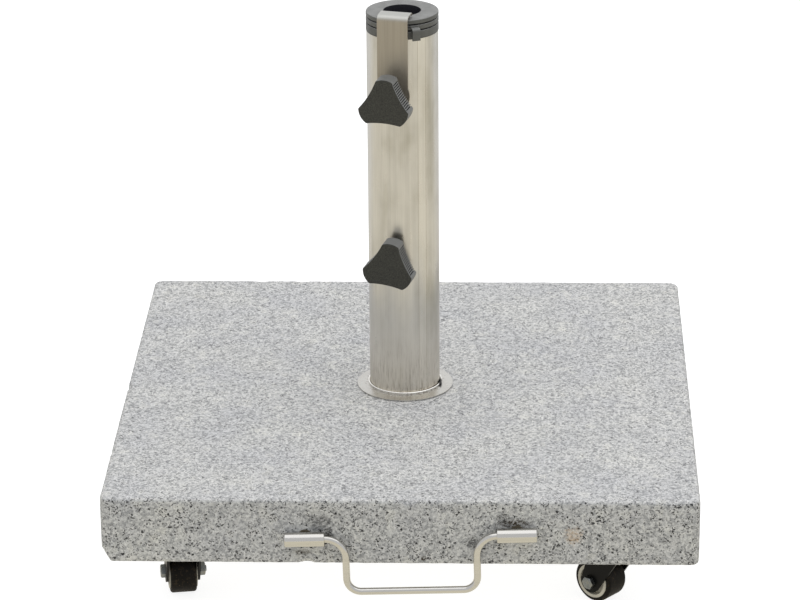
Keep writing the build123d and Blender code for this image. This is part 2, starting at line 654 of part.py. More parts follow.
def make_caster(name, x, y, heading):
    """Plate, kingpin, fork, hub, tyre, axle bolt and nut of one swivel caster."""
    swivel = Vector(x, y + SLAB_Y, 0)
    trail = Vector(-sin(radians(heading)), cos(radians(heading)), 0)
    axle = Vector(cos(radians(heading)), sin(radians(heading)), 0)
    wheel = swivel + trail * TRAIL + Vector(0, 0, WHEEL_R)
    wheel_plane = Plane(origin=wheel, x_dir=axle, z_dir=trail * -1)
    axle_axis = Axis(wheel, axle)

    def flat(height):
        return Plane(origin=swivel + Vector(0, 0, height))

    def fork_level(height):
        return Plane(origin=swivel + Vector(0, 0, height), x_dir=axle)

    def cheek(distance):
        """Upright plane square to the axle; x runs back along the trail, y is the height."""
        return Plane(origin=swivel + axle * distance, x_dir=trail, z_dir=axle)

    with BuildPart() as plate:
        with BuildSketch(flat(plate_bottom)):
            RectangleRounded(PLATE_SIDE, PLATE_SIDE, PLATE_CORNER)
            with GridLocations(PLATE_HOLES, PLATE_HOLES, 2, 2):
                Circle(SCREW_HOLE_R, mode=Mode.SUBTRACT)
        extrude(amount=PLATE_THICKNESS)
        with BuildSketch(flat(race_bottom)):
            Circle(RACE_R)
        extrude(amount=RACE_HEIGHT)
        fillet(plate.faces().sort_by(Axis.Z)[0].edges(), RACE_EDGE)
        with BuildSketch(flat(race_bottom)):
            Circle(KINGPIN_R)
        extrude(amount=SLAB_BOTTOM - race_bottom, mode=Mode.SUBTRACT)
    save(plate, f"{name}_caster_plate")

    with BuildPart() as kingpin:
        with BuildSketch(flat(kingpin_bottom)):
            Circle(KINGPIN_HEAD_R)
        extrude(amount=KINGPIN_HEAD)
        fillet(kingpin.faces().sort_by(Axis.Z)[0].edges(), HEAD_EDGE)
        with BuildSketch(flat(kingpin_bottom + KINGPIN_HEAD)):
            Circle(KINGPIN_R)
        extrude(amount=SLAB_BOTTOM - kingpin_bottom - KINGPIN_HEAD)
    save(kingpin, f"{name}_kingpin")

    with BuildPart() as fork:
        with BuildSketch(fork_level(crown_bottom)):
            Circle(CROWN_R)
            with Locations((0, (CROWN_FRONT + CROWN_BACK) / 2)):
                Rectangle(2 * leg_outer, CROWN_BACK - CROWN_FRONT)
        extrude(amount=CROWN_THICKNESS)
        fillet(fork.edges().filter_by(Axis.Z), FORK_CORNER)
        for start in (-leg_outer, LEG_INNER):
            with BuildSketch(cheek(start)):
                with BuildLine():
                    Line((CROWN_FRONT + LEG_SETBACK, crown_top), (CROWN_BACK - LEG_SETBACK, crown_top))
                    CenterArc((TRAIL, WHEEL_R), LEG_END_R, 180, 180)
                make_hull()
            extrude(amount=LEG_THICKNESS)
        with BuildSketch(fork_level(crown_bottom)):
            Circle(KINGPIN_R + RUNNING_GAP)
        extrude(amount=CROWN_THICKNESS, mode=Mode.SUBTRACT)
        with BuildSketch(cheek(-leg_outer)):
            with Locations((TRAIL, WHEEL_R)):
                Circle(AXLE_R)
        extrude(amount=2 * leg_outer, mode=Mode.SUBTRACT)
    save(fork, f"{name}_fork")

    with BuildPart() as hub:
        with BuildSketch(wheel_plane):
            with BuildLine():
                Polyline(
                    (-HUB_HALF, AXLE_R + RUNNING_GAP),
                    (-HUB_HALF, BOSS_R),
                    (-WEB_HALF, BOSS_R + HUB_DRAFT),
                    (-WEB_HALF, RING_BORE_R - HUB_DRAFT),
                    (-HUB_HALF + RING_SETBACK, RING_BORE_R),
                    (-HUB_HALF + RING_SETBACK, RING_R),
                    (-TYRE_HALF, RING_R),
                    (-TYRE_HALF, TYRE_SEAT_R),
                    (TYRE_HALF, TYRE_SEAT_R),
                    (TYRE_HALF, RING_R),
                    (HUB_HALF - RING_SETBACK, RING_R),
                    (HUB_HALF - RING_SETBACK, RING_BORE_R),
                    (WEB_HALF, RING_BORE_R - HUB_DRAFT),
                    (WEB_HALF, BOSS_R + HUB_DRAFT),
                    (HUB_HALF, BOSS_R),
                    (HUB_HALF, AXLE_R + RUNNING_GAP),
                    close=True,
                )
            make_face()
        revolve(axis=axle_axis)
    save(hub, f"{name}_wheel_hub")

    with BuildPart() as tyre:
        with BuildSketch(wheel_plane):
            with Locations((0, (WHEEL_R + TYRE_SEAT_R) / 2)):
                Rectangle(2 * TYRE_HALF, WHEEL_R - TYRE_SEAT_R)
        revolve(axis=axle_axis)
        fillet(tyre.edges().group_by(SortBy.LENGTH)[-1], TYRE_SHOULDER)
    save(tyre, f"{name}_tyre")

    with BuildPart() as axle_bolt:
        with BuildSketch(cheek(-leg_outer)):
            with Locations((TRAIL, WHEEL_R)):
                RegularPolygon(AXLE_FLATS / 2, 6, major_radius=False, rotation=30)
        extrude(amount=-AXLE_HEAD)
        with BuildSketch(cheek(-leg_outer)):
            with Locations((TRAIL, WHEEL_R)):
                Circle(AXLE_R)
        extrude(amount=2 * leg_outer + AXLE_NUT + BOLT_TIP)
    save(axle_bolt, f"{name}_axle_bolt")

    with BuildPart() as axle_nut:
        with BuildSketch(cheek(leg_outer)):
            with Locations((TRAIL, WHEEL_R)):
                RegularPolygon(AXLE_FLATS / 2, 6, major_radius=False)
                Circle(AXLE_R, mode=Mode.SUBTRACT)
        extrude(amount=AXLE_NUT)
    save(axle_nut, f"{name}_axle_nut")


for name, (x, y, heading) in CASTERS.items():
    make_caster(name, x, y, heading)

with BuildPart() as screws:
    with BuildSketch(slab_level(plate_bottom)):
        with Locations(*screw_places):
            Circle(SCREW_HEAD_R)
    extrude(amount=-SCREW_HEAD)
    fillet(screws.faces().group_by(Axis.Z)[0].edges(), HEAD_EDGE)
    with BuildSketch(slab_level(plate_bottom)):
        with Locations(*screw_places):
            Circle(SCREW_R)
    extrude(amount=SCREW_LENGTH)
save(screws, "caster_screws")

with BuildPart() as plugs:
    with BuildSketch(slab_level(SLAB_BOTTOM)):
        with Locations(*screw_places):
            Circle(PLUG_R)
    extrude(amount=PLUG_LENGTH)
    with BuildSketch(slab_level(SLAB_BOTTOM)):
        with Locations(*screw_places):
            Circle(SCREW_R)
    extrude(amount=SCREW_LENGTH - PLATE_THICKNESS, mode=Mode.SUBTRACT)
save(plugs, "caster_plugs")
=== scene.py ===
import json
import math

import bmesh
import bpy
import numpy as np
from mathutils import Matrix, Vector, noise


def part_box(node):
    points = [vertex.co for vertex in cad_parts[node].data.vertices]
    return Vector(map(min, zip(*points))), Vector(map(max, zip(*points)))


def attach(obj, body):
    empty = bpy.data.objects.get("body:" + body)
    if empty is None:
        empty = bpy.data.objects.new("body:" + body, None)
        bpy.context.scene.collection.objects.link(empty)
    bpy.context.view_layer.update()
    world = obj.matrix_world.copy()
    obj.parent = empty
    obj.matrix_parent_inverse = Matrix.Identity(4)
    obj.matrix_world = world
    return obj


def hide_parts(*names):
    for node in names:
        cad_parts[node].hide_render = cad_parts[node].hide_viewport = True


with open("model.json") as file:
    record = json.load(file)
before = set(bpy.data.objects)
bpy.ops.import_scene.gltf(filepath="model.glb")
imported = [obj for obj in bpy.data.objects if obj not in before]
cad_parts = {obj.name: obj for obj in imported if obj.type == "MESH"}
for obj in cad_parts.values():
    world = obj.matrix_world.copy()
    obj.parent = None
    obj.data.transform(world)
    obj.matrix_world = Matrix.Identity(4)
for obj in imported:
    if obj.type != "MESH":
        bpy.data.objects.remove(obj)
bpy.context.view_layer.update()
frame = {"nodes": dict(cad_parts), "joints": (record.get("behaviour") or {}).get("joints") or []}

# Looks of a rolling parasol base: granite slab, steel pole tube, clamp knobs, drop handle, casters.
# Metres, +Z up, front towards -Y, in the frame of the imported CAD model.

MM = 0.001
UP = Vector((0, 0, 1))
NODES = frame["nodes"]
JOINTS = {joint["name"]: joint for joint in frame["joints"]}
CASTERS = ("front_left", "front_right", "rear_left", "rear_right")
SCREWS = ("upper", "lower")


def middle_of(node):
    """Middle of a CAD node's box."""
    low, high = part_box(node)
    return (low + high) / 2


SLAB_LOW, SLAB_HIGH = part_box("granite_slab")
TUBE_LOW, TUBE_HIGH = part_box("pole_tube")
POST = middle_of("pole_tube")
TUBE_R = (TUBE_HIGH.x - TUBE_LOW.x) / 2
BORE_R = 16.25 * MM  # the pole's bore in the rings
RING_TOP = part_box("inner_adapter")[1].z
RING_EDGE_R = TUBE_R + 0.3 * MM  # outer edge of the rings' flanges
ROSETTE_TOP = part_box("rosette")[1].z
OUTWARD = -Vector(JOINTS["upper_knob_turn"]["axis"])  # from the tube through the clamp screws


def put_in_scene(name, data):
    """New object in the scene."""
    made = bpy.data.objects.new(name, data)
    bpy.context.scene.collection.objects.link(made)
    return made


# ---------------------------------------------------------------- camera

EYE = Vector((0.0986, -2.972, 1.3795))
CAMERA_TURN = 2.022  # degrees to the left of straight back
CAMERA_DIP = 21.729  # degrees below level
CAMERA_TILT = -0.469  # degrees round the line of sight
CAMERA_LENS = 163.15  # mm, on a sensor of this width
CAMERA_SENSOR = 36.0
CAMERA_FAR = 50.0  # metres


def make_camera():
    """Camera that stands where the photograph was taken."""
    camera = put_in_scene("camera", bpy.data.cameras.new("camera"))
    camera.data.lens = CAMERA_LENS
    camera.data.sensor_width = CAMERA_SENSOR
    camera.data.clip_end = CAMERA_FAR
    camera.matrix_world = (
        Matrix.Translation(EYE)
        @ Matrix.Rotation(math.radians(CAMERA_TURN), 4, "Z")
        @ Matrix.Rotation(math.radians(90 - CAMERA_DIP), 4, "X")
        @ Matrix.Rotation(math.radians(CAMERA_TILT), 4, "Z")
    )
    bpy.context.scene.camera = camera


# ---------------------------------------------------------------- colours and nodes


def tone(red, green=None, blue=None):
    """Linear colour from 0-255 display values; one value makes a grey."""
    values = (red, red if green is None else green, red if blue is None else blue)
    return tuple((v / 255) ** 2.2 for v in values) + (1.0,)


def scaled(colour, factor):
    """A lighter or darker version of a linear colour."""
    return [min(1.0, c * factor) for c in colour[:3]] + [1.0]


class Paint:
    """A material in the making. Each helper adds nodes and gives back an output socket."""

    def __init__(self, name, **surface):
        """Starts a material; surface gives the shader's inputs, with _ for a space."""
        self.material = bpy.data.materials.new(name)
        self.material.use_nodes = True
        self.tree = self.material.node_tree
        self.shader = self.tree.nodes["Principled BSDF"]
        for socket, value in surface.items():
            self.set(socket.replace("_", " "), value)
        self.place = self.add("TexCoord", output="Object")
        self.facing = self.place.node.outputs["Normal"]
        self.colour = None  # base colour and cloudiness, which some materials build on
        self.cloud = None

    def feed(self, socket, value):
        """Links an output to a socket, or sets the socket to a plain value."""
        if isinstance(value, bpy.types.NodeSocket):
            self.tree.links.new(value, socket)
        else:
            socket.default_value = value

    def set(self, socket, value):
        """Sets or links one of the surface's own inputs."""
        self.feed(self.shader.inputs[socket], value)

    def add(self, kind, inputs=None, output=0, **settings):
        """Adds one shader node; its sockets go by name or number."""
        node = self.tree.nodes.new("ShaderNode" + kind)
        for name, value in settings.items():
            setattr(node, name, value)
        for socket, value in (inputs or {}).items():
            self.feed(node.inputs[socket], value)
        return node.outputs[output]

    def math(self, operation, a, b=0.0, c=0.0):
        """Arithmetic on one, two or three values, as the operation needs."""
        return self.add("Math", {0: a, 1: b, 2: c}, operation=operation)

    def product(self, first, *others):
        """Values multiplied together."""
        for other in others:
            first = self.math("MULTIPLY", first, other)
        return first

    def vector(self, operation, a, b=(0, 0, 0), output="Vector"):
        """Arithmetic on one or two vectors."""
        return self.add("VectorMath", {0: a, 1: b}, output, operation=operation)

    def height(self):
        """Height above the floor."""
        return self.add("SeparateXYZ", {0: self.place}, "Z")

    def upward(self):
        """How far the surface faces up: 1 when level, 0 when upright, -1 when face down."""
        return self.add("SeparateXYZ", {0: self.facing}, "Z")

    def from_line(self, point, axis):
        """Distance from a line through a point, along a unit axis."""
        away = self.stretch((1, 1, 1), -Vector(point))
        return self.vector("LENGTH", self.vector("CROSS_PRODUCT", away, axis), output="Value")

    def stretch(self, scale, shift=(0, 0, 0)):
        """Coordinates multiplied by a scale for each axis, after a shift."""
        return self.vector("MULTIPLY", self.vector("ADD", self.place, shift), scale)

    def noise(self, size, detail=3.0, rough=0.5, source=None, output=0):
        """Soft noise whose blobs are about this size in metres."""
        inputs = {"Vector": source or self.place, "Scale": 1 / size, "Detail": detail, "Roughness": rough}
        return self.add("TexNoise", inputs, output)

    def cells(self, size, source):
        """A random value for each cell of about this size."""
        colour = self.add("TexVoronoi", {"Vector": source, "Scale": 1 / size}, "Color")
        return self.add("SeparateColor", {0: colour})

    def warp(self, size, amount):
        """Coordinates bent by noise, which makes cell borders ragged."""
        push = self.noise(size, 2.0, output="Color")
        centred = self.vector("SUBTRACT", push, (0.5, 0.5, 0.5))
        return self.vector("ADD", self.place, self.vector("MULTIPLY", centred, (amount,) * 3))

    def between(self, value, low, high, start=0.0, end=1.0):
        """Runs smoothly from start to end as the value goes from low to high."""
        inputs = {"Value": value, "From Min": low, "From Max": high, "To Min": start, "To Max": end}
        return self.add("MapRange", inputs, interpolation_type="SMOOTHSTEP")

    def falling(self, value, low, high):
        """Falls smoothly from 1 to 0 as the value goes from low to high."""
        return self.between(value, low, high, 1.0, 0.0)

    def ramp(self, value, *stops):
        """Colour ramp from (position, colour) pairs."""
        output = self.add("ValToRGB", {0: value})
        elements = output.node.color_ramp.elements
        while len(elements) < len(stops):
            elements.new(0.5)
        for element, (position, colour) in zip(elements, stops):
            element.position = position
            element.color = colour
        return output

    def blend(self, factor, a, b, how="MIX"):
        """Mixes two colours; a Mix node's colour sockets are its inputs 6 and 7 and output 2."""
        return self.add("Mix", {0: factor, 6: a, 7: b}, 2, data_type="RGBA", blend_type=how)

    def tint(self, colour, by):
        """Multiplies a colour by another."""
        return self.blend(1.0, colour, by, "MULTIPLY")

    def bump(self, height, depth, strength):
        """Normal of a relief that is this deep in metres."""
        return self.add("Bump", {"Height": height, "Distance": depth, "Strength": strength})

    def spot(self, centre, reach, ragged, size):
        """Mask that is 1 at a place and fades out, with a ragged border, at its reach along each axis."""
        near = self.stretch([1 / r for r in reach], [-c for c in centre])
        away = self.vector("LENGTH", near, output="Value")
        frayed = self.math("MULTIPLY_ADD", self.noise(size, 4.0, 0.6), ragged, -ragged / 2)
        return self.between(self.math("ADD", away, frayed), 1.0, 0.45)


# ---------------------------------------------------------------- granite


def granite_ground(paint, ragged, grain):
    """Mottled feldspar with grey quartz, a few large pale crystals and slow drifts of tone."""
    feldspar = paint.ramp(
        paint.noise(2.8 * MM, 4.0, 0.72),
        (0.30, tone(196, 197, 198)),
        (0.50, tone(230, 230, 228)),
        (0.70, tone(252, 252, 248)),
    )
    quartz = paint.between(paint.cells(2.0 * MM, ragged), 0.58, 0.80)
    colour = paint.blend(paint.product(quartz, 0.55), feldspar, tone(146, 148, 150))
    crystal = paint.between(paint.cells(7 * MM, paint.warp(4 * MM, 5 * MM)), 0.90, 0.95)
    colour = paint.blend(paint.product(crystal, 0.45), colour, tone(248, 247, 240))
    shades = paint.ramp(grain, (0.0, tone(220)), (1.0, tone(255)))
    cloud = paint.noise(60 * MM, 3.0, 0.5)
    drift = paint.ramp(cloud, (0.3, tone(240, 240, 243)), (0.7, tone(255, 254, 252)))
    return paint.tint(paint.tint(colour, shades), drift)


def granite_flecks(paint):
    """Mask of the black mica: specks that gather in clumps, and single larger flakes."""
    clumps = paint.between(paint.noise(6 * MM, 3.0, 0.65), 0.38, 0.60, 0.15, 1.0)
    specks = paint.between(paint.cells(1.0 * MM, paint.warp(0.9 * MM, 0.9 * MM)), 0.76, 0.86)
    flakes = paint.between(paint.cells(1.6 * MM, paint.warp(1.2 * MM, 1.8 * MM)), 0.965, 0.985)
    return paint.math("MAXIMUM", paint.product(specks, clumps), flakes)


def granite():
    """Light grey granite: pale flamed top; sawn sides with more contrasty flecks, tinted darker as
    painted shade.
    """
    paint = Paint("granite", Specular_IOR_Level=0.3)
    ragged = paint.warp(1.6 * MM, 1.5 * MM)
    grain = paint.cells(0.9 * MM, ragged)
    ground = granite_ground(paint, ragged, grain)
    flecks = granite_flecks(paint)
    top = paint.between(paint.upward(), 0.55, 0.9)
    # the sides take a darker tint than the top: painted shade
    colour = paint.blend(top, paint.tint(ground, tone(231, 233, 234)), ground)
    strength = paint.between(top, 0.0, 1.0, 0.97, 0.70)
    colour = paint.blend(paint.product(flecks, strength), colour, tone(46, 46, 48))
    paint.set("Base Color", stain_slab(paint, colour))
    paint.set("Roughness", paint.between(flecks, 0.0, 1.0, 0.66, 0.45))
    relief = paint.math("ADD", paint.noise(1.1 * MM, 3.0, 0.6), paint.product(grain, 0.5))
    paint.set("Normal", paint.bump(relief, 0.2 * MM, 0.5))
    return paint.material


# colours of the speckled dark patches round the handle's sleeves
BROWN_PATCH = tone(58, 50, 38)
GREY_PATCH = tone(52, 52, 52)
IRON_STAIN = tone(196, 168, 134)
# sleeve, place from its middle (along the front, up), reach (along, up), both in mm, strength, colour
STAINS = (
    ("left", (12, 13), (14, 11), 0.50, GREY_PATCH),
    ("left", (20, 3.5), (5, 6), 0.85, GREY_PATCH),
    ("left", (-2, -15), (9, 3.5), 0.60, BROWN_PATCH),
    ("right", (-2.5, 7.5), (17, 5.5), 0.90, BROWN_PATCH),
    ("right", (-11, 12), (8, 6), 0.55, GREY_PATCH),
    ("right", (-37, -9.5), (6, 7), 0.70, GREY_PATCH),
    ("right", (-78, -25), (2.8, 2.8), 0.80, BROWN_PATCH),
    ("right", (47, -3), (9, 10), 0.45, IRON_STAIN),
)
STAIN_DEPTH = 12 * MM
STAIN_FRAYING = 1.5
STAIN_FRAY_SIZE = 2.4 * MM


def stain_slab(paint, colour):
    """Dark brown and grey patches and an iron stain on the slab's front, round the handle's sleeves."""
    crystals = paint.cells(1.2 * MM, paint.warp(1.0 * MM, 1.2 * MM))
    taken_up = paint.between(crystals, 0.15, 0.85, 0.35, 1.15)
    for side, (along, up), (wide, tall), strength, shade in STAINS:
        middle = middle_of(f"{side}_handle_sleeve")
        place = (middle.x + along * MM, SLAB_LOW.y, middle.z + up * MM)
        reach = (wide * MM, STAIN_DEPTH, tall * MM)
        mask = paint.spot(place, reach, STAIN_FRAYING, STAIN_FRAY_SIZE)
        colour = paint.blend(paint.product(mask, taken_up, strength), colour, shade)
    return colour


# ---------------------------------------------------------------- metals


def streaked_steel(name, base, rough, streak_axis=2, streak=60 * MM, fine=0.35 * MM):
    """Brushed metal: fine streaks along one axis in colour, roughness and relief."""
    paint = Paint(name, Metallic=1.0)
    scale = [1.0, 1.0, 1.0]
    scale[streak_axis] = fine / streak
    along = paint.stretch(scale)
    lines = paint.noise(fine, 3.0, 0.6, along)
    wide = paint.noise(5 * MM, 2.0, 0.5, along)
    smudge = paint.noise(30 * MM, 4.0, 0.6)
    shade = paint.math("ADD", paint.product(lines, 0.6), paint.product(wide, 0.4))
    paint.colour = paint.ramp(shade, (0.3, scaled(base, 0.88)), (0.7, scaled(base, 1.08)))
    streaks = paint.between(shade, 0.3, 0.7, rough + 0.05, rough - 0.03)
    paint.set("Base Color", paint.colour)
    paint.set("Roughness", paint.math("ADD", streaks, paint.between(smudge, 0.35, 0.7, -0.02, 0.05)))
    paint.set("Normal", paint.bump(lines, 0.01 * MM, 0.5))
    return paint


WELD_BAND = (26.5, 40.8)  # degrees round the tube from its front towards +X
WELD_BLUR = 0.9  # degrees over which each side of the band fades


def ground_weld(paint, turn, colour):
    """The pale band, with a darker rim, where the tube's weld was ground off."""
    first, last = (math.radians(edge) for edge in WELD_BAND)
    soft = math.radians(WELD_BLUR)
    begun = paint.between(turn, first - soft, first + soft)
    inside = paint.product(begun, paint.falling(turn, last - soft, last + soft))
    rim = paint.product(paint.between(inside, 0.0, 0.5), paint.falling(inside, 0.5, 1.0))
    colour = paint.blend(paint.product(inside, 0.14), colour, tone(255, 252, 242))
    return paint.blend(paint.product(rim, 0.55), colour, tone(128, 118, 100))


def soiled_foot(paint, height, colour):
    """Warmer metal, upright dirty strokes and a rim of grime towards the tube's foot."""
    top = SLAB_HIGH.z
    low = paint.falling(height, top, top + 70 * MM)
    strokes = paint.between(paint.noise(1.1 * MM, 3.0, 0.7, paint.stretch((1, 1, 0.06))), 0.46, 0.72)
    warmer = paint.between(height, top + 10 * MM, top + 95 * MM, 0.32, 0.0)
    colour = paint.blend(warmer, colour, tone(248, 236, 214))
    colour = paint.blend(paint.product(low, strokes, 0.62), colour, tone(140, 128, 112))
    foot = paint.falling(height, top + 4 * MM, top + 12 * MM)
    grime = paint.between(paint.noise(2.5 * MM, 4.0, 0.7, paint.stretch((1, 1, 0.4))), 0.50, 0.70)
    return paint.blend(paint.product(foot, grime, 0.7), colour, tone(84, 66, 48))


def tube_steel():
    """Sheet brushed along the tube, hazy, with the ground-off weld band down its right front."""
    paint = streaked_steel("brushed_steel", tone(214, 212, 206), 0.30)
    across = paint.add("SeparateXYZ", {0: paint.stretch((1, 1, 1), (-POST.x, -POST.y, 0))}, "X")
    ahead = paint.product(across.node.outputs["Y"], -1.0)
    turn = paint.math("ARCTAN2", across, ahead)

    broad = paint.noise(16 * MM, 2.0, 0.5, paint.stretch((1.0, 1.0, 0.12)))
    blotch = paint.noise(26 * MM, 3.0, 0.55, paint.stretch((1.0, 1.0, 0.55)))
    haze = paint.math("ADD", paint.product(broad, 0.55), paint.product(blotch, 0.45))
    shading = paint.ramp(haze, (0.36, tone(219, 218, 213)), (0.50, tone(246)), (0.60, tone(255)))
    colour = ground_weld(paint, turn, paint.tint(paint.colour, shading))
    paint.set("Base Color", soiled_foot(paint, paint.height(), colour))
    paint.set("Anisotropic", 0.7)
    paint.set("Tangent", paint.add("Tangent", direction_type="RADIAL", axis="Z"))
    return paint.material


# painted shade in the gap between the rosette's rolled lip and the tube, on its right; it also covers
# part of the lip
LIP_GAP_SHADE = POST.xy.to_3d() + Vector((TUBE_R + 0.9 * MM, -8 * MM, ROSETTE_TOP))
LIP_GAP_SHADE_REACH = (2.0 * MM, 11 * MM, 6 * MM)


def polished_steel():
    """The rosette: hazy, with brown spots round the tube's foot as a painted reflection, a painted
    highlight on its rolled lip and painted shade in the lip's gap.
    """
    paint = Paint("polished_steel", Metallic=1.0)
    haze = paint.noise(14 * MM, 4.0, 0.6)
    scratches = paint.noise(0.25 * MM, 2.0, 0.6, paint.stretch((1.0, 0.06, 1.0)))
    colour = paint.ramp(haze, (0.3, tone(201, 198, 192)), (0.7, tone(214, 212, 206)))
    # brown spots near the tube's foot: painted reflection
    near = paint.falling(paint.from_line(POST, UP), TUBE_R + 3.5 * MM, TUBE_R + 6.5 * MM)
    reflection_spots = paint.between(paint.noise(2.6 * MM, 3.0, 0.7), 0.50, 0.66)
    colour = paint.blend(paint.product(near, reflection_spots, 0.5), colour, tone(110, 90, 76))
    # painted highlight along the top of the rolled lip
    lip_highlight = paint.between(paint.height(), ROSETTE_TOP - 1.0 * MM, ROSETTE_TOP - 0.3 * MM)
    colour = paint.blend(lip_highlight, colour, tone(255, 253, 248))
    # painted shade in the lip's gap
    lip_shade = paint.spot(LIP_GAP_SHADE, LIP_GAP_SHADE_REACH, 0.3, 2 * MM)
    paint.set("Base Color", paint.blend(lip_shade, colour, tone(8)))
    rough = paint.between(haze, 0.35, 0.7, 0.20, 0.30)
    paint.set("Roughness", paint.math("ADD", rough, paint.product(scratches, 0.05)))
    paint.set("Normal", paint.bump(paint.noise(9 * MM, 2.0), 0.05 * MM, 0.3))
    return paint.material


def strap_steel():
    """A dull strap with a painted highlight: paler where its fold over the rings faces up."""
    paint = streaked_steel("strap_steel", tone(161, 154, 141), 0.42, fine=0.7 * MM)
    paint.set("Metallic", 0.8)
    # painted highlight on the surfaces that face up
    fold_highlight = paint.between(paint.upward(), 0.15, 0.8)
    paint.set("Base Color", paint.blend(fold_highlight, paint.colour, tone(190, 190, 185)))
    return paint.material


def handle_steel():
    """Drawn wire and sleeves: a painted reflection makes them cooler where they face up and warmer below.
    """
    paint = streaked_steel("handle_steel", tone(207, 205, 197), 0.15, streak_axis=0, streak=25 * MM)
    # painted reflection: cooler colour on the surfaces that face up
    upper_reflection = paint.between(paint.upward(), 0.15, 0.22)
    paint.set("Base Color", paint.blend(upper_reflection, paint.colour, tone(203, 201, 197)))
    return paint.material


def zinc():
    """Zinc plating with a spangle in its gloss, on the bolts, screws, studs, pins and bushes."""
    paint = Paint("zinc", Metallic=1.0)
    spangle = paint.cells(1.6 * MM, paint.warp(1.5 * MM, 1 * MM))
    colour = paint.ramp(
        paint.noise(4 * MM, 3.0, 0.6),
        (0.3, tone(104, 108, 110)),
        (0.5, tone(130, 134, 136)),
        (0.75, tone(142, 138, 126)),
    )
    paint.set("Base Color", colour)
    paint.set("Roughness", paint.between(spangle, 0.0, 1.0, 0.26, 0.42))
    paint.set("Normal", paint.bump(paint.noise(0.8 * MM), 0.03 * MM, 0.5))
    return paint.material


# ---------------------------------------------------------------- plastics and rubber


def moulded(name, base, rough, grain=0.45 * MM, depth=0.05 * MM, worn=1.25):
    """Moulded plastic with a fine spark-eroded grain and faint wear."""
    paint = Paint(name)
    skin = paint.noise(grain, 3.0, 0.65)
    paint.cloud = paint.noise(11 * MM, 4.0, 0.6)
    shade = paint.math("ADD", paint.product(paint.cloud, 0.7), paint.product(skin, 0.3))
    paint.colour = paint.ramp(shade, (0.3, scaled(base, 0.85)), (0.7, scaled(base, worn)))
    paint.set("Base Color", paint.colour)
    paint.set("Roughness", paint.between(shade, 0.3, 0.7, rough + 0.06, rough - 0.06))
    paint.set("Normal", paint.bump(skin, depth, 0.6))
    return paint


def dust_and_top_sheen(paint, dust, amount):
    """Finishes a moulded material with a paler film on the surfaces that face up: dust and a painted
    sheen.
    """
    # dust and painted sheen on the surfaces that face up
    dust_and_sheen = paint.between(paint.upward(), 0.35, 0.95, 0.0, amount)
    patchy = paint.between(paint.cloud, 0.25, 0.75, 0.75, 1.1)
    paint.set("Base Color", paint.blend(paint.product(dust_and_sheen, patchy), paint.colour, dust))
    return paint.material


# painted shade for the hollow beside the middle ring's hook tab, which is not modelled
HOOK_HOLLOW_SHADE = POST.xy.to_3d() + Vector((6.7 * MM, -TUBE_R, RING_TOP - 5.2 * MM))
HOOK_HOLLOW_SHADE_REACH = (2.2 * MM, 4 * MM, 2.4 * MM)


def ring_plastic():
    """Dark grey rings, dusty with a painted sheen on top, with painted shade in the gaps between them,
    down the pole's bore and in the hook's hollow.
    """
    paint = moulded("ring_plastic", tone(80, 81, 78), 0.5)
    radius = paint.from_line(POST, UP)
    bore = paint.falling(radius, BORE_R + 0.1 * MM, BORE_R + 0.8 * MM)
    # painted shade in the gaps between the rings and under their flanges
    inset = paint.falling(radius, RING_EDGE_R - 0.8 * MM, RING_EDGE_R - 0.3 * MM)
    lower_edge = paint.falling(paint.upward(), -0.4, -0.1)
    painted_gap_shade = paint.math("MAXIMUM", inset, lower_edge)
    below = paint.falling(paint.height(), RING_TOP - 2.0 * MM, RING_TOP - 1.0 * MM)
    paint.colour = paint.blend(paint.product(painted_gap_shade, below), paint.colour, tone(14, 14, 15))
    # painted shade down the pole's bore
    paint.colour = paint.blend(bore, paint.colour, tone(42, 42, 48))
    # painted shade where the hook's hollow would be
    hollow_shade = paint.spot(HOOK_HOLLOW_SHADE, HOOK_HOLLOW_SHADE_REACH, 0.2, 1 * MM)
    paint.colour = paint.blend(hollow_shade, paint.colour, tone(14, 14, 15))
    return dust_and_top_sheen(paint, tone(160, 160, 158), 0.55)


KNOB_TURN = {"upper": -1.5, "lower": -7.0}  # degrees, of a knob's top lobe from straight up
KNOB_CORNER_R = 22.6 * MM
KNOB_WAIST_R = 15.6 * MM
KNOB_LOBE_HALF = math.radians(18.8)
# a groove's painted shade darkens, and ends, over these depths below the tops of the ribs
GROOVE_START = (0.15 * MM, 0.6 * MM)
GROOVE_END = (1.7 * MM, 2.0 * MM)
# there are no ribs beyond these distances from the knob's axis, on the lobes' ends
LOBE_END = (KNOB_CORNER_R - 1.2 * MM, KNOB_CORNER_R - 0.6 * MM)


def hollow_radius():
    """Radius of the arc along a hollow side, through two lobes' corners and the waist between."""
    half = math.radians(60) - KNOB_LOBE_HALF
    rise = KNOB_CORNER_R * math.cos(half) - KNOB_WAIST_R
    chord_half = KNOB_CORNER_R * math.sin(half)
    return (chord_half**2 + rise**2) / (2 * rise)


def upright_to(axis):
    """Unit direction square to a unit axis that points as far up as it can."""
    return (UP - axis * axis.z).normalized()


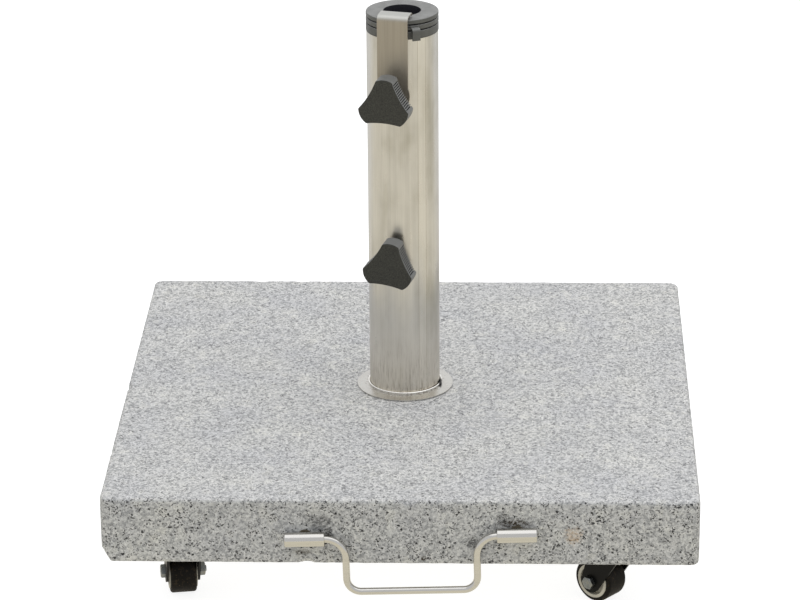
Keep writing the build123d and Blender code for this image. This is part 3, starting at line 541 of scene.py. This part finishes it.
def knob_grooves(paint):
    """Mask of painted shade in the grooves between the ribs, on the hollow sides of both knobs."""
    hollow_r = hollow_radius()
    groove_shade = 0.0
    for screw, turn in KNOB_TURN.items():
        joint = JOINTS[f"{screw}_knob_turn"]
        origin, axis = Vector(joint["pos_m"]), Vector(joint["axis"])
        up = upright_to(axis)
        across = up.cross(OUTWARD)
        nearest = 1.0
        for side in range(3):
            facing = math.radians(90 + turn + 60 + 120 * side)
            towards = across * math.cos(facing) + up * math.sin(facing)
            centre = origin + towards * (KNOB_WAIST_R + hollow_r)
            nearest = paint.math("MINIMUM", nearest, paint.from_line(centre, axis))
        depth = paint.math("SUBTRACT", nearest, hollow_r)
        ribbed = paint.product(paint.between(depth, *GROOVE_START), paint.falling(depth, *GROOVE_END))
        on_side = paint.falling(paint.from_line(origin, axis), *LOBE_END)
        groove_shade = paint.math("MAXIMUM", groove_shade, paint.product(ribbed, on_side))
    return groove_shade


def knob_plastic():
    """Black knobs with a matt, mottled skin; on the sides, ribs made pale by dust and painted sheen, with
    painted shade in the grooves.
    """
    paint = moulded("knob_plastic", tone(36, 37, 32), 0.42, 1.3 * MM, 0.16 * MM, 1.7)
    along = paint.vector("DOT_PRODUCT", paint.facing, OUTWARD, "Value")
    # the sides are made paler: dust and painted sheen
    rim = paint.between(paint.math("ABSOLUTE", along), 0.2, 0.7, 0.5, 0.0)
    # painted shade in the grooves between the ribs
    groove_shade = paint.product(knob_grooves(paint), paint.between(rim, 0.0, 0.2))
    mottle = paint.noise(0.9 * MM, 3.0, 0.7)
    matt = paint.ramp(mottle, (0.38, tone(18, 19, 15)), (0.62, tone(56, 57, 51)))
    colour = paint.blend(rim, matt, tone(132, 133, 132))
    paint.colour = paint.blend(groove_shade, colour, tone(6))
    # less gloss in the grooves, along with their painted shade
    paint.set("Specular IOR Level", paint.between(groove_shade, 0.0, 1.0, 0.5, 0.05))
    return dust_and_top_sheen(paint, tone(128, 129, 128), 0.3)


def resin():
    """Brownish filled resin round the sleeves' pins."""
    return moulded("resin", tone(96, 90, 76), 0.35, 1.2 * MM, 0.2 * MM).material


def caster_metal():
    """Black lacquered steel of the forks and plates."""
    paint = moulded("caster_metal", tone(10, 10, 10), 0.33, 0.7 * MM, 0.06 * MM)
    paint.set("Specular IOR Level", 0.14)
    return paint.material


def tyre_rubber():
    """Black rubber, dusty and scuffed brown in patches."""
    paint = moulded("tyre_rubber", tone(16, 14, 11), 0.6, 0.6 * MM, 0.08 * MM)
    paint.set("Specular IOR Level", 0.16)
    scuff = paint.between(paint.noise(3.5 * MM, 5.0, 0.7), 0.52, 0.68)
    dust = paint.between(paint.noise(1.2 * MM, 3.0, 0.7), 0.62, 0.7)
    colour = paint.blend(paint.product(scuff, 0.35), paint.colour, tone(76, 64, 48))
    colour = paint.blend(paint.product(dust, 0.35), colour, tone(118, 96, 68))
    paint.set("Base Color", colour)
    return paint.material


def make_materials():
    """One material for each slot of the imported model, by the slot's name."""
    return {
        "granite": granite(),
        "brushed_steel": tube_steel(),
        "polished_steel": polished_steel(),
        "strap_steel": strap_steel(),
        "handle_steel": handle_steel(),
        "zinc": zinc(),
        "ring_plastic": ring_plastic(),
        "knob_plastic": knob_plastic(),
        "hub_plastic": moulded("hub_plastic", tone(180, 177, 166), 0.45).material,
        "caster_metal": caster_metal(),
        "tyre_rubber": tyre_rubber(),
        "resin": resin(),
        "plug_nylon": moulded("plug_nylon", tone(178, 178, 174), 0.5).material,
    }


MATERIALS = make_materials()


def dress_cad_nodes():
    """Gives every CAD node the finished material of the slot it was packed with."""
    for node in NODES.values():
        for slot in node.material_slots:
            slot.material = MATERIALS[slot.material.name.split(".")[0]]


# ---------------------------------------------------------------- building pieces


def add_piece(name, mesh, slot, body, *stands_for):
    """Puts a finished mesh, made in the shared frame, into the scene on its CAD body."""
    piece = put_in_scene(name, mesh)
    mesh.materials.append(MATERIALS[slot])
    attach(piece, body)
    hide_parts(*stands_for)


def smooth(mesh, angle):
    """Smooth shading that stays crisp at edges sharper than this many degrees."""
    mesh.shade_smooth()
    mesh.set_sharp_from_angle(angle=math.radians(angle))


def finished_mesh(name, build):
    """Turns a mesh in the making into a mesh of this name."""
    mesh = bpy.data.meshes.new(name)
    build.to_mesh(mesh)
    build.free()
    return mesh


def carved(blank, tool):
    """The mesh left when the tool is cut out of the blank; both objects are used up."""
    cut = blank.modifiers.new("cut", "BOOLEAN")
    cut.object = tool
    cut.operation = "DIFFERENCE"
    cut.solver = "EXACT"
    finished = bpy.data.meshes.new_from_object(blank.evaluated_get(bpy.context.evaluated_depsgraph_get()))
    finished.materials.clear()
    bpy.data.objects.remove(blank)
    bpy.data.objects.remove(tool)
    return finished


# ---------------------------------------------------------------- granite slab

CORNER_R = 9 * MM
CORNER_GRID = 1.5 * MM
SLAB_GRID = 3.4 * MM
TOP_ARRIS = 3 * MM
BOTTOM_ARRIS = 1.5 * MM
ARRIS_LINES = 6
SLAB_MERGE = 0.005 * MM  # points closer than this become one
SLAB_SMOOTH = 40  # degrees


def spaced(low, high, step):
    """Even places from low to high, about a step apart."""
    return list(np.linspace(low, high, max(2, round((high - low) / step) + 1)))


def slab_lines(half, arris):
    """Grid lines from edge to edge: close together at the arris and corner, wider between."""
    insets = [arris * (1 - math.cos(a)) for a in np.linspace(0, math.pi / 2, ARRIS_LINES)]
    corner = spaced(arris, CORNER_R, CORNER_GRID)
    near = sorted(set(round(d, 7) for d in insets + corner))
    inner = spaced(-(half - CORNER_R), half - CORNER_R, SLAB_GRID)[1:-1]
    return [-half + d for d in near] + inner + [half - d for d in reversed(near)]


def round_corner(x, y, half):
    """Moves a point of a square grid so that the square's corners become round."""
    core = half - CORNER_R
    a, b = abs(x) - core, abs(y) - core
    if a <= 0 or b <= 0:
        return x, y
    shrink = max(a, b) / math.hypot(a, b)
    return math.copysign(core + a * shrink, x), math.copysign(core + b * shrink, y)


def slab_sheet(lines, half, level, arris, upward):
    """The slab's top or bottom: a grid that curls over at its border."""
    points = []
    for y in lines:
        for x in lines:
            inset = half - max(abs(x), abs(y))
            fall = arris - math.sqrt(max(0.0, arris**2 - max(0.0, arris - inset) ** 2))
            plan = round_corner(x, y, half)
            points.append((*plan, level - fall if upward else level + fall))
    count = len(lines)
    faces = []
    for row in range(count - 1):
        for column in range(count - 1):
            a = row * count + column
            quad = (a, a + 1, a + count + 1, a + count)
            faces.append(quad if upward else quad[::-1])
    return points, faces


def slab_wall(lines, half, low, high):
    """The slab's four sides between its two arrises."""
    rim = [(x, -half) for x in lines[:-1]] + [(half, y) for y in lines[:-1]]
    rim += [(x, half) for x in reversed(lines[1:])] + [(-half, y) for y in reversed(lines[1:])]
    levels = spaced(low, high, SLAB_GRID)
    points = [(*round_corner(x, y, half), z) for z in levels for x, y in rim]
    faces = []
    for row in range(len(levels) - 1):
        for column in range(len(rim)):
            following = (column + 1) % len(rim)
            a, b = row * len(rim) + column, row * len(rim) + following
            faces.append((a, b, b + len(rim), a + len(rim)))
    return points, faces


def slab_build(half, height):
    """The unworn slab round its own middle."""
    build = bmesh.new()
    lines = slab_lines(half, TOP_ARRIS)
    parts = (
        slab_sheet(lines, half, height / 2, TOP_ARRIS, True),
        slab_sheet(lines, half, -height / 2, BOTTOM_ARRIS, False),
        slab_wall(lines, half, -height / 2 + BOTTOM_ARRIS, height / 2 - TOP_ARRIS),
    )
    for points, faces in parts:
        made = [build.verts.new(p) for p in points]
        for face in faces:
            build.faces.new([made[i] for i in face])
    bmesh.ops.remove_doubles(build, verts=build.verts[:], dist=SLAB_MERGE)
    build.normal_update()
    return build


FACE_WAVE = 0.15 * MM  # depth of the slow waves in the flat faces
WAVE_SIZE = 70 * MM
PIT_DEPTH = 0.35 * MM
PIT_SIZE = 5 * MM
PIT_START = 0.35  # noise below this leaves the face unpitted
PIT_SHIFT = Vector((3, 5, 7))  # puts the pits out of step with the other noise
ARRIS_WEAR = 0.7 * MM
WEAR_SIZE = 9 * MM
WEAR_REACH = 5 * MM  # how far in from an edge its wear goes


def worn_depth(place, half, height):
    """Depth of stone worn away at a place: slow waves, pits and uneven wear along the edges."""
    wave = 0.5 + 0.5 * noise.noise(place / WAVE_SIZE)
    depth = FACE_WAVE * wave
    pit = noise.noise(place / PIT_SIZE + PIT_SHIFT)
    depth += PIT_DEPTH * max(0.0, pit - PIT_START) / (1 - PIT_START)
    insets = sorted((half - abs(place.x), half - abs(place.y), height / 2 - abs(place.z)))
    near_edge = max(0.0, 1 - insets[1] / WEAR_REACH)
    ragged = 0.5 + 0.5 * noise.fractal(place / WEAR_SIZE, 0.8, 2.0, 3)
    return depth + ARRIS_WEAR * near_edge * ragged


CHIPS = 46
CHIP_SIZES = (3 * MM, 7 * MM)
CHIP_BITES = (0.25, 0.55)  # share of a chip's size that goes into the stone
CHIP_SPHERE = 1.35  # radius of the sphere that shapes a chip, as a share of its size


def chip_places(half, height):
    """Seeded places along the slab's edges where small flakes have broken away."""
    chance = np.random.default_rng(7)
    places = []
    for _ in range(CHIPS):
        side = chance.integers(4)
        along = chance.uniform(-half, half)
        up = chance.choice([-1, 1, 1])
        size = chance.uniform(*CHIP_SIZES)
        bite = chance.uniform(*CHIP_BITES) * size
        centre = Vector((along, -half - size + bite, up * (height / 2 + size - bite)))
        centre.rotate(Matrix.Rotation(side * math.pi / 2, 3, "Z"))
        places.append((centre, size * CHIP_SPHERE))
    return places


CORNER_BREAK = Vector((9 * MM, 0, 0))  # the lower front left corner is broken off back to here
BREAK_FACING = Vector((-0.84, -0.16, -0.52)).normalized()


def weather(build, half, height):
    """Wears the slab's faces and edges, breaks a corner off and breaks chips out."""
    normals = [vertex.normal.copy() for vertex in build.verts]
    for vertex, normal in zip(build.verts, normals):
        vertex.co = vertex.co - normal * worn_depth(vertex.co, half, height)
    corner = Vector((-half, -half, -height / 2)) + CORNER_BREAK
    for vertex in build.verts:
        beyond = (vertex.co - corner).dot(BREAK_FACING)
        if beyond > 0:
            vertex.co = vertex.co - BREAK_FACING * beyond
    for centre, reach in chip_places(half, height):
        for vertex in build.verts:
            away = vertex.co - centre
            if away.length_squared < reach**2:
                vertex.co = centre + away.normalized() * reach


TUBE_GAP = 0.6 * MM  # between the tube and its recess
POCKET_R = 21 * MM  # pocket under the slab for the tie bolt's head and washer
TIE_BORE_R = 7 * MM
HANDLE_BORE_R = 6 * MM
OVERSHOOT = 10 * MM  # how far the cutters of upright holes reach past the stone
FRONT_OVERSHOOT = 5 * MM  # the same for the drillings in its front


def slab_holes():
    """Recess for the tube, pocket and hole for its bolt, and the two drillings for the handle."""
    x, y = POST.x, POST.y
    over, under = SLAB_HIGH.z + OVERSHOOT, SLAB_LOW.z - OVERSHOOT
    pocket_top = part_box("tie_washer")[1].z
    holes = [
        (Vector((x, y, TUBE_LOW.z)), Vector((x, y, over)), TUBE_R + TUBE_GAP),
        (Vector((x, y, under)), Vector((x, y, pocket_top)), POCKET_R),
        (Vector((x, y, pocket_top - MM)), Vector((x, y, TUBE_LOW.z + MM)), TIE_BORE_R),
    ]
    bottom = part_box("handle_resin_plugs")[1].y + MM
    for sleeve in ("left_sleeve_pin", "right_sleeve_pin"):
        pin = middle_of(sleeve)
        front = Vector((pin.x, SLAB_LOW.y - FRONT_OVERSHOOT, pin.z))
        holes.append((front, Vector((pin.x, bottom, pin.z)), HANDLE_BORE_R))
    return holes


def cutter(name, holes):
    """One object of upright or level cylinders, each (start, end, radius), to cut holes with."""
    build = bmesh.new()
    for start, end, radius in holes:
        run = end - start
        turn = run.to_track_quat("Z", "Y").to_matrix().to_4x4()
        bmesh.ops.create_cone(
            build, cap_ends=True, segments=64, radius1=radius, radius2=radius, depth=run.length,
            matrix=Matrix.Translation((start + end) / 2) @ turn,
        )
    return put_in_scene(name, finished_mesh(name, build))


def make_slab():
    """The weathered, drilled granite slab."""
    half = (SLAB_HIGH.x - SLAB_LOW.x) / 2
    height = SLAB_HIGH.z - SLAB_LOW.z
    build = slab_build(half, height)
    weather(build, half, height)
    bmesh.ops.translate(build, verts=build.verts[:], vec=(SLAB_LOW + SLAB_HIGH) / 2)
    stone = put_in_scene("slab_blank", finished_mesh("slab_stone", build))
    finished = carved(stone, cutter("slab_cutter", slab_holes()))
    smooth(finished, SLAB_SMOOTH)
    add_piece("slab_stone", finished, "granite", "base", "granite_slab")


# ---------------------------------------------------------------- threads, bolts and screws

RING_POINTS = 48
ANGLES = np.linspace(0, 2 * math.pi, RING_POINTS, endpoint=False)
RING_MERGE = 0.001 * MM
THREAD_DEPTH = 0.45 * MM
THREAD_STEPS = 8  # rings of points for each turn
THREAD_LEAD = 0.3 * MM  # taper from a thread to an end face
CHAMFER_SLOPE = math.tan(math.radians(30))
CHAMFER_CIRCLE = 0.94  # the level end of a chamfered hexagon, as a share of its size across flats
BOLT_SMOOTH = 35  # degrees


def ring(radius, height):
    """Closed ring of points round the local Z axis; radius and height may vary with the angle."""
    radii = np.broadcast_to(radius, ANGLES.shape)
    heights = np.broadcast_to(height, ANGLES.shape)
    return [(r * math.cos(a), r * math.sin(a), z) for r, z, a in zip(radii, heights, ANGLES)]


def skin(name, rings):
    """Mesh through a stack of rings, closed at both ends."""
    build = bmesh.new()
    loops = [[build.verts.new(p) for p in loop] for loop in rings]
    for lower, upper in zip(loops, loops[1:]):
        for i in range(RING_POINTS):
            j = (i + 1) % RING_POINTS
            build.faces.new((lower[i], lower[j], upper[j], upper[i]))
    build.faces.new(loops[0][::-1])
    build.faces.new(loops[-1])
    bmesh.ops.recalc_face_normals(build, faces=build.faces[:])
    return finished_mesh(name, build)


def tube_skin(name, rings):
    """Mesh through rings that also joins the last ring back to the first, for a pierced piece."""
    mesh = skin(name, rings + [rings[0]])
    build = bmesh.new()
    build.from_mesh(mesh)
    ends = [face for face in build.faces if len(face.verts) == RING_POINTS]
    bmesh.ops.delete(build, geom=ends, context="FACES_ONLY")
    bmesh.ops.remove_doubles(build, verts=build.verts[:], dist=RING_MERGE)
    bmesh.ops.recalc_face_normals(build, faces=build.faces[:])
    build.to_mesh(mesh)
    build.free()
    return mesh


def thread(radius, pitch, start, end):
    """Rings that follow a right-handed thread."""
    count = round((end - start) / pitch * THREAD_STEPS)
    rings = []
    for height in np.linspace(start, end, count + 1):
        phase = (height / pitch - ANGLES / (2 * math.pi)) % 1
        rings.append(ring(radius - THREAD_DEPTH * np.abs(2 * phase - 1), height))
    return rings


def hexagon(flats, low, high, chamfered=(True, True)):
    """Rings of a hexagonal head whose corners are taken off by a cone at the ends asked for."""
    sector = (np.degrees(ANGLES) + 30) % 60 - 30
    across = flats / 2 / np.cos(np.radians(sector))
    flat_r = CHAMFER_CIRCLE * flats / 2
    fall = (across - flat_r) * CHAMFER_SLOPE
    foot = [ring(flat_r, low), ring(across, low + fall)] if chamfered[0] else [ring(across, low)]
    crown = [ring(across, high - fall), ring(flat_r, high)] if chamfered[1] else [ring(across, high)]
    return foot + crown


def aimed(mesh, origin, axis):
    """Turns a mesh made round the local Z axis so that it lies along an axis through a point."""
    along = Vector(axis).normalized()
    rise = upright_to(along)
    turn = Matrix((rise, along.cross(rise), along)).transposed().to_4x4()
    mesh.transform(Matrix.Translation(origin) @ turn)
    smooth(mesh, BOLT_SMOOTH)
    return mesh


STUD_R = 4.95 * MM
STUD_IN_KNOB = 11 * MM  # length inside the knob
STUD_OUT = 16.4 * MM  # length between the knob's back and the spigot
STUD_PITCH = 1.5 * MM
STUD_LEAD = 0.5 * MM  # taper at the spigot's end of the thread
STUD_ROOT = 0.9  # end in the knob, as a share of the stud's radius
STUD_NECK = 0.86  # the same for the end face round the spigot
SPIGOT_R = 2.4 * MM
SPIGOT_LENGTH = 3 * MM


def make_studs():
    """Threaded clamp screws; each runs inward from its knob's back face."""
    for screw in SCREWS:
        joint = JOINTS[f"{screw}_knob_turn"]
        rings = [ring(STUD_ROOT * STUD_R, -STUD_IN_KNOB)]
        rings += thread(STUD_R, STUD_PITCH, THREAD_LEAD - STUD_IN_KNOB, STUD_OUT - STUD_LEAD)
        rings += [ring(STUD_NECK * STUD_R, STUD_OUT), ring(SPIGOT_R, STUD_OUT)]
        rings += [ring(SPIGOT_R, STUD_OUT + SPIGOT_LENGTH)]
        mesh = aimed(skin(f"{screw}_threaded_stud", rings), Vector(joint["pos_m"]), joint["axis"])
        add_piece(f"{screw}_threaded_stud", mesh, "zinc", f"{screw}_knob_body", f"{screw}_knob_stud")


AXLE_R = 3 * MM
AXLE_FLATS = 10 * MM
AXLE_HEAD = 4 * MM
AXLE_NUT = 5 * MM
AXLE_PITCH = 1.0 * MM
AXLE_TIP = 0.8  # radius of the bolt's end face, as a share of its radius
BOLT_TIP = 1 * MM  # how far the bolt comes out of its nut
NUT_GAP = 0.1 * MM
FORK_HALF = 14.6 * MM  # from a wheel's middle to its fork's outer face


def axle_bolt_rings():
    """Bolt with its head on one side of the fork and a thread for the nut on the other."""
    nut_end = FORK_HALF + AXLE_NUT
    rings = hexagon(AXLE_FLATS, -FORK_HALF - AXLE_HEAD, -FORK_HALF, (True, False))
    rings += [ring(AXLE_R, -FORK_HALF), ring(AXLE_R, FORK_HALF)]
    rings += thread(AXLE_R, AXLE_PITCH, FORK_HALF, nut_end + BOLT_TIP - THREAD_LEAD)
    return rings + [ring(AXLE_TIP * AXLE_R, nut_end + BOLT_TIP)]


def axle_nut_rings():
    """Hexagon nut, chamfered on both faces, with a plain bore."""
    nut_end = FORK_HALF + AXLE_NUT
    bore = AXLE_R + NUT_GAP
    return [ring(bore, FORK_HALF)] + hexagon(AXLE_FLATS, FORK_HALF, nut_end) + [ring(bore, nut_end)]


def make_axles():
    """Hexagon bolt and nut that carry each wheel."""
    for caster in CASTERS:
        joint = JOINTS[f"{caster}_wheel_spin"]
        place, axis, body = Vector(joint["pos_m"]), joint["axis"], f"{caster}_fork_body"
        bolt = aimed(skin(f"{caster}_hex_bolt", axle_bolt_rings()), place, axis)
        add_piece(f"{caster}_hex_bolt", bolt, "zinc", body, f"{caster}_axle_bolt")
        nut = aimed(tube_skin(f"{caster}_hex_nut", axle_nut_rings()), place, axis)
        add_piece(f"{caster}_hex_nut", nut, "zinc", body, f"{caster}_axle_nut")


TIE_R = 6 * MM
TIE_FLATS = 19 * MM


def make_tie_bolt():
    """The bolt under the slab that holds the tube down."""
    low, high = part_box("tie_bolt")
    head_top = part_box("tie_washer")[0].z
    rings = hexagon(TIE_FLATS, low.z, head_top, (True, False))
    rings += [ring(TIE_R, head_top), ring(TIE_R, high.z)]
    mesh = skin("tie_hex_bolt", rings)
    mesh.transform(Matrix.Translation((POST.x, POST.y, 0)))
    smooth(mesh, BOLT_SMOOTH)
    add_piece("tie_hex_bolt", mesh, "zinc", "base", "tie_bolt")


SCREW_SPREAD = 16 * MM  # from a caster plate's middle to its screws, each way
SCREW_R = 2.2 * MM
HEAD_R = 4.2 * MM
HEAD_RISE = 1.8 * MM
HEAD_EDGE = 0.35  # share of the head's height that is its upright edge
HEAD_RINGS = 7
DOME_START = 0.15  # radians between the head's middle and its first ring
DRIVE_WIDTH = 1.1 * MM
DRIVE_LENGTH = 4.4 * MM
DRIVE_DEPTH = 1.1 * MM


def screw_blank(top):
    """One pan-head screw, head down, with a cross recess; z is 0 at the plate's underside."""
    dome = [
        ring(HEAD_R * math.sin(a), -HEAD_RISE * (HEAD_EDGE + (1 - HEAD_EDGE) * math.cos(a)))
        for a in np.linspace(DOME_START, math.pi / 2, HEAD_RINGS)
    ]
    shank = [ring(HEAD_R, 0), ring(SCREW_R, 0), ring(SCREW_R, top)]
    blank = put_in_scene("screw_blank", skin("screw_blank", dome + shank))
    arms = bmesh.new()
    for size in ((DRIVE_LENGTH, DRIVE_WIDTH), (DRIVE_WIDTH, DRIVE_LENGTH)):
        block = Matrix.Translation((0, 0, -HEAD_RISE)) @ Matrix.Diagonal((*size, 2 * DRIVE_DEPTH, 1))
        bmesh.ops.create_cube(arms, size=1.0, matrix=block)
    return carved(blank, put_in_scene("cross_cutter", finished_mesh("cross_cutter", arms)))


def make_caster_screws():
    """Four pan-head screws for each caster's plate, each stopped at a turn of its own."""
    low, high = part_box("caster_screws")
    underside = low.z + HEAD_RISE
    blank = screw_blank(high.z - underside)
    group = bmesh.new()
    for caster in CASTERS:
        axle = Vector(JOINTS[f"{caster}_swivel"]["pos_m"])
        for i in (-1, 1):
            for j in (-1, 1):
                first = len(group.verts)
                group.from_mesh(blank)
                group.verts.ensure_lookup_table()
                turn = Matrix.Rotation(i + 2.0 * j + axle.x, 4, "Z")
                place = Vector((axle.x + i * SCREW_SPREAD, axle.y + j * SCREW_SPREAD, underside))
                bmesh.ops.transform(
                    group, matrix=Matrix.Translation(place) @ turn, verts=group.verts[first:]
                )
    mesh = finished_mesh("caster_pan_screws", group)
    smooth(mesh, BOLT_SMOOTH)
    add_piece("caster_pan_screws", mesh, "zinc", "base", "caster_screws")


# ---------------------------------------------------------------- floor and light

# radiances, of which 1 shows as white
WORLD_RADIANCE = 0.76
FLOOR_RADIANCE = 0.86
CARD_RADIANCE = 0.84
FLOOR_REACH = 20.0
CARD_REACH = 6.0
CARD_HEIGHT = 0.3 * MM
CARD_FADE = (0.2, 0.8)  # the card turns from warm to white between these distances behind the middle
# name, place, point it is aimed at, width, depth, radiance
SOFT_LIGHTS = (
    ("overhead", (0.4, 0.1, 2.6), (0, 0, 0.1), 3.8, 3.8, 0.66),
    ("backdrop", (0.0, 3.2, 1.4), (0, 0, 0.3), 6.0, 2.8, 0.15),
)


def level_square(name, reach, height):
    """A square sheet in the scene that lies level round the middle."""
    corners = [(x * reach, y * reach, height) for x, y in ((-1, -1), (1, -1), (1, 1), (-1, 1))]
    mesh = bpy.data.meshes.new(name)
    mesh.from_pydata(corners, [], [(0, 1, 2, 3)])
    return put_in_scene(name, mesh)


def make_floor():
    """Pale studio floor, bright enough that the object's shadow stays faint."""
    floor = level_square("studio_floor", FLOOR_REACH, 0)
    paint = Paint("studio_floor", Base_Color=tone(160), Roughness=0.9)
    paint.set("Emission Color", tone(255))
    paint.set("Emission Strength", FLOOR_RADIANCE)
    floor.data.materials.append(paint.material)


def area_light(name, place, target, wide, deep, radiance):
    """White rectangular soft light that the camera doesn't see, as bright as its surface should be."""
    data = bpy.data.lights.new(name, "AREA")
    data.shape = "RECTANGLE"
    data.size = wide
    data.size_y = deep
    data.energy = radiance * math.pi * wide * deep
    lamp = put_in_scene(name, data)
    lamp.location = place
    lamp.rotation_mode = "QUATERNION"
    lamp.rotation_quaternion = (Vector(target) - Vector(place)).to_track_quat("-Z", "Y")
    lamp.visible_camera = False


def make_bounce_card():
    """Warm card just over the floor that lights and is mirrored by the object, like a wooden floor."""
    card = level_square("bounce_card", CARD_REACH, CARD_HEIGHT)
    paint = Paint("bounce_card")
    behind_object = paint.between(paint.add("SeparateXYZ", {0: paint.place}, "Y"), *CARD_FADE)
    shade = paint.blend(behind_object, tone(255, 248, 231), tone(255))
    glow = paint.add("Emission", {"Color": shade, "Strength": CARD_RADIANCE})
    underneath = paint.add("NewGeometry", output="Backfacing")
    surface = paint.add("MixShader", {0: underneath, 1: glow, 2: paint.add("BsdfTransparent")})
    paint.feed(paint.tree.nodes["Material Output"].inputs["Surface"], surface)
    card.data.materials.append(paint.material)
    card.visible_camera = False
    card.visible_shadow = False


def make_light():
    """Bright even surroundings, two soft lights and the bounce card."""
    scene = bpy.context.scene
    scene.view_settings.view_transform = "Standard"
    world = bpy.data.worlds.new("studio")
    scene.world = world
    world.use_nodes = True
    background = world.node_tree.nodes["Background"]
    background.inputs["Color"].default_value = tone(252, 253, 255)
    background.inputs["Strength"].default_value = WORLD_RADIANCE
    for settings in SOFT_LIGHTS:
        area_light(*settings)
    make_bounce_card()


# ---------------------------------------------------------------- everything

make_camera()
dress_cad_nodes()
make_slab()
make_studs()
make_axles()
make_tie_bolt()
make_caster_screws()
make_floor()
make_light()
